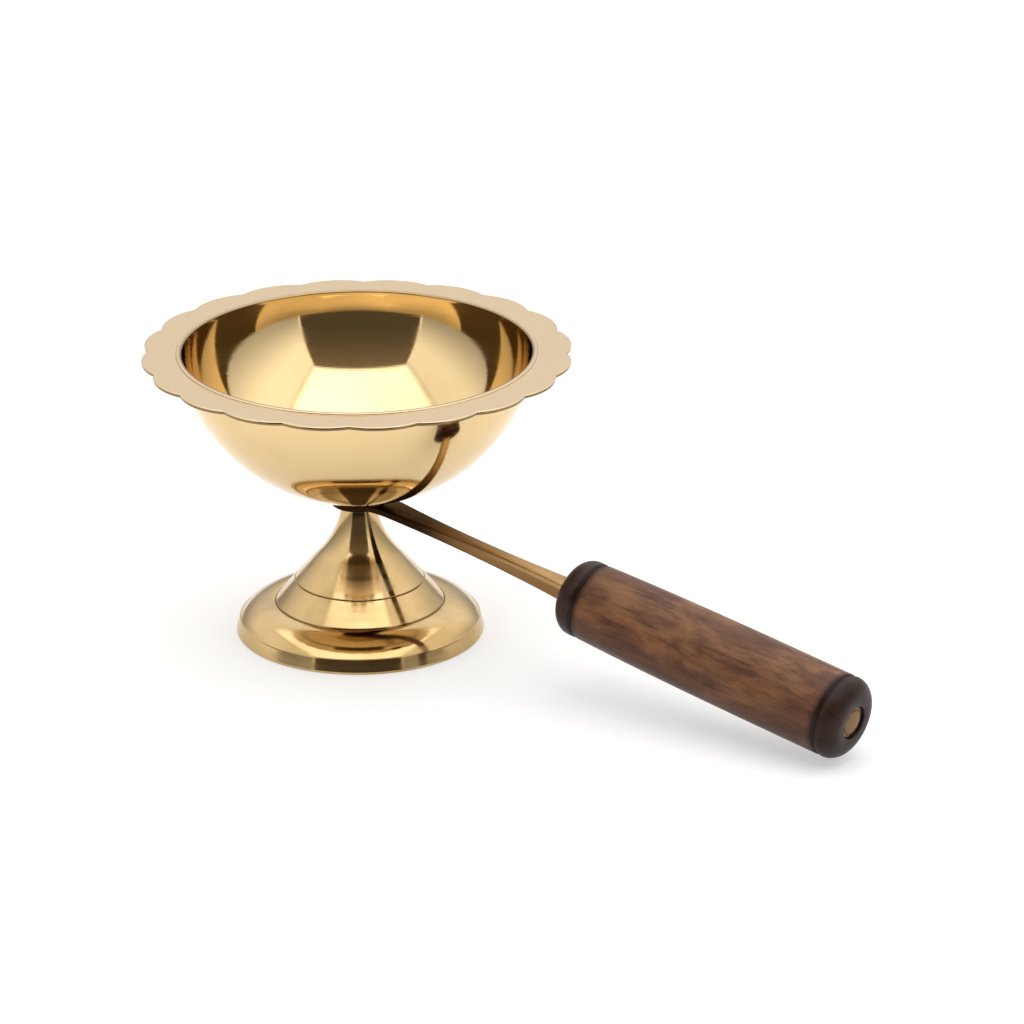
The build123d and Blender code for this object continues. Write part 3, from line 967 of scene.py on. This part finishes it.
class LAMP_OT_stage(bpy.types.Operator):
    """Lay the pale floor, hang the light and set up the camera"""

    bl_idname = "lamp.stage"
    bl_label = "Stage"

    def execute(self, context):
        s, half = context.scene.lamp_stage, 4.0
        context.scene.view_settings.view_transform = "Standard"
        bm = bmesh.new()
        behind = Matrix.Translation((0, half - s.floor_front, 0))
        bmesh.ops.create_grid(
            bm, x_segments=1, y_segments=1, size=half,
            matrix=Matrix.Rotation(s.azimuth, 4, "Z") @ behind)
        add_object("floor", bm, self.floor_finish())
        self.world(context.scene, s)
        self.camera(context.scene, s)
        return {"FINISHED"}

    def floor_finish(self):
        """Pale floor that shows white to the camera and to the brass and keeps a shadow."""
        finish = bpy.data.materials.new("pale_floor")
        finish.use_nodes = True
        board = Board(finish.node_tree)
        paper = board.add("ShaderNodeBsdfDiffuse", {"Color": (0.92, 0.92, 0.92, 1)})
        white = board.add("ShaderNodeEmission", {"Color": (1, 1, 1, 1), "Strength": 1.0})
        path = board.add("ShaderNodeLightPath").outputs
        seen = board.maths("MAXIMUM", path["Is Camera Ray"], path["Is Glossy Ray"])
        seen = board.maths("MAXIMUM", seen, path["Is Transmission Ray"])
        mixed = board.add(
            "ShaderNodeMixShader",
            {0: board.maths("MULTIPLY", seen, 0.45), 1: paper.outputs[0], 2: white.outputs[0]})
        board.add("ShaderNodeOutputMaterial", {"Surface": mixed.outputs[0]})
        return finish

    def world(self, scene, s):
        """Box of white cloth round the lamp, brightest above and open towards the camera."""
        scene.world = bpy.data.worlds.new("light_tent")
        scene.world.use_nodes = True
        board = Board(scene.world.node_tree)
        way = board.add("ShaderNodeTexCoord").outputs["Generated"]
        way = board.add(
            "ShaderNodeMapping", {"Vector": way, "Rotation": (0, 0, -s.azimuth)}).outputs[0]
        across, depth, rise = board.add("ShaderNodeSeparateXYZ", {0: way}).outputs[:3]
        left = board.maths("DIVIDE", across, -s.tent_left)
        right = board.maths("DIVIDE", across, s.tent_right)
        side = board.maths("MAXIMUM", left, right)
        top = board.maths("DIVIDE", rise, s.tent_top)
        front = board.maths("MULTIPLY", depth, -1.0)
        rear = board.maths("DIVIDE", depth, s.tent_rear)
        wall = board.maths("MAXIMUM", side, rear)
        hole = board.maths("SUBTRACT", front, board.maths("MAXIMUM", side, top))
        hole = board.ramp(hole, -0.005, 0.02)
        hems = board.ramp(board.apart(front, side), 0.0, 0.03, 1.0, 0.0)
        roof = board.maths("SUBTRACT", top, board.maths("MAXIMUM", wall, front))
        seam = board.ramp(board.maths("ABSOLUTE", roof), 0.0, 0.09, 0.72, 1.0)
        roof = board.ramp(roof, -0.03, 0.03)
        climb = board.maths("DIVIDE", rise, wall)
        cloth = board.ramp(climb, 0.0, 0.7, s.wall_low, s.wall_high)
        glow = board.add("ShaderNodeMix", {0: roof, 2: cloth, 3: s.roof_light}).outputs[0]
        glow = board.maths("MULTIPLY", glow, seam)
        glow = board.maths("MULTIPLY", glow, board.ramp(across, -0.6, 0.6, 0.93, 1.12))
        room = board.ramp(board.maths("DIVIDE", top, front), 0.2, 1.0, s.opening_low, s.opening_high)
        room = board.maths("MULTIPLY", room, board.ramp(rise, -0.02, 0.08, 0.15, 1.0))
        glow = board.add("ShaderNodeMix", {0: hole, 2: glow, 3: room}).outputs[0]
        hems = board.maths("MULTIPLY", hems, board.ramp(board.maths("SUBTRACT", side, top), 0.0, 0.05))
        glow = board.add("ShaderNodeMix", {0: hems, 2: glow, 3: s.wall_high}).outputs[0]
        tint = board.mix(hole, (1, 1, 1, 1), (1, 0.82, 0.63, 1))
        light = board.add("ShaderNodeBackground", {"Color": tint, "Strength": glow})
        white = board.add("ShaderNodeBackground", {"Color": (1, 1, 1, 1), "Strength": 1.0})
        path = board.add("ShaderNodeLightPath").outputs
        mixed = board.add(
            "ShaderNodeMixShader",
            {0: path["Is Camera Ray"], 1: light.outputs[0], 2: white.outputs[0]})
        board.add("ShaderNodeOutputWorld", {"Surface": mixed.outputs[0]})

    def camera(self, scene, s):
        """Camera at the photo's viewing angle."""
        back = Matrix.Rotation(s.azimuth, 3, "Z") @ Vector(
            (0, -math.cos(s.elevation), math.sin(s.elevation)))
        right = Matrix.Rotation(s.azimuth, 3, "Z") @ Vector((1, 0, 0))
        axes = Matrix((right, back.cross(right), back)).transposed()
        axes = Matrix.Rotation(s.pan, 3, axes.col[1]) @ axes
        axes = Matrix.Rotation(s.tilt, 3, axes.col[0]) @ axes
        axes = Matrix.Rotation(s.roll, 3, axes.col[2]) @ axes
        lens = bpy.data.cameras.new("camera")
        lens.lens, lens.sensor_width, lens.clip_end = s.lens, 36.0, 50.0
        camera = bpy.data.objects.new("camera", lens)
        scene.collection.objects.link(camera)
        camera.matrix_world = (
            Matrix.Translation(Vector((0, 0, s.target)) + back * s.distance) @ axes.to_4x4())
        scene.camera = camera


class LAMP_PT_panel(bpy.types.Panel):
    """Sizes, colours and steps of the lamp"""

    bl_idname = "LAMP_PT_panel"
    bl_label = "Aarti Lamp"
    bl_space_type = "VIEW_3D"
    bl_region_type = "UI"
    bl_category = "Lamp"

    def draw(self, context):
        for step in STEPS:
            self.layout.operator(step.bl_idname)
        for name, settings in SETTINGS.items():
            box = self.layout.box()
            box.label(text=settings.__doc__)
            for key in settings.__annotations__:
                box.prop(getattr(context.scene, name), key)


SETTINGS = {
    "lamp_bowl": BowlSizes,
    "lamp_foot": FootSizes,
    "lamp_arm": ArmSizes,
    "lamp_grip": GripSizes,
    "lamp_clamp": ClampSizes,
    "lamp_finish": FinishColours,
    "lamp_stage": StageSettings,
}
STEPS = (LAMP_OT_bowl, LAMP_OT_foot, LAMP_OT_arm, LAMP_OT_grip, LAMP_OT_clamp, LAMP_OT_stage)


def register():
    for name, settings in SETTINGS.items():
        bpy.utils.register_class(settings)
        setattr(bpy.types.Scene, name, PointerProperty(type=settings))
    for step in STEPS:
        bpy.utils.register_class(step)
    bpy.utils.register_class(LAMP_PT_panel)


def unregister():
    bpy.utils.unregister_class(LAMP_PT_panel)
    for step in reversed(STEPS):
        bpy.utils.unregister_class(step)
    for name, settings in reversed(SETTINGS.items()):
        delattr(bpy.types.Scene, name)
        bpy.utils.unregister_class(settings)


def main():
    """Make every piece and the stage."""
    register()
    bpy.ops.lamp.bowl()
    bpy.ops.lamp.foot()
    bpy.ops.lamp.arm()
    bpy.ops.lamp.grip()
    bpy.ops.lamp.clamp()
    bpy.ops.lamp.stage()


if __name__ == "__main__":
    main()
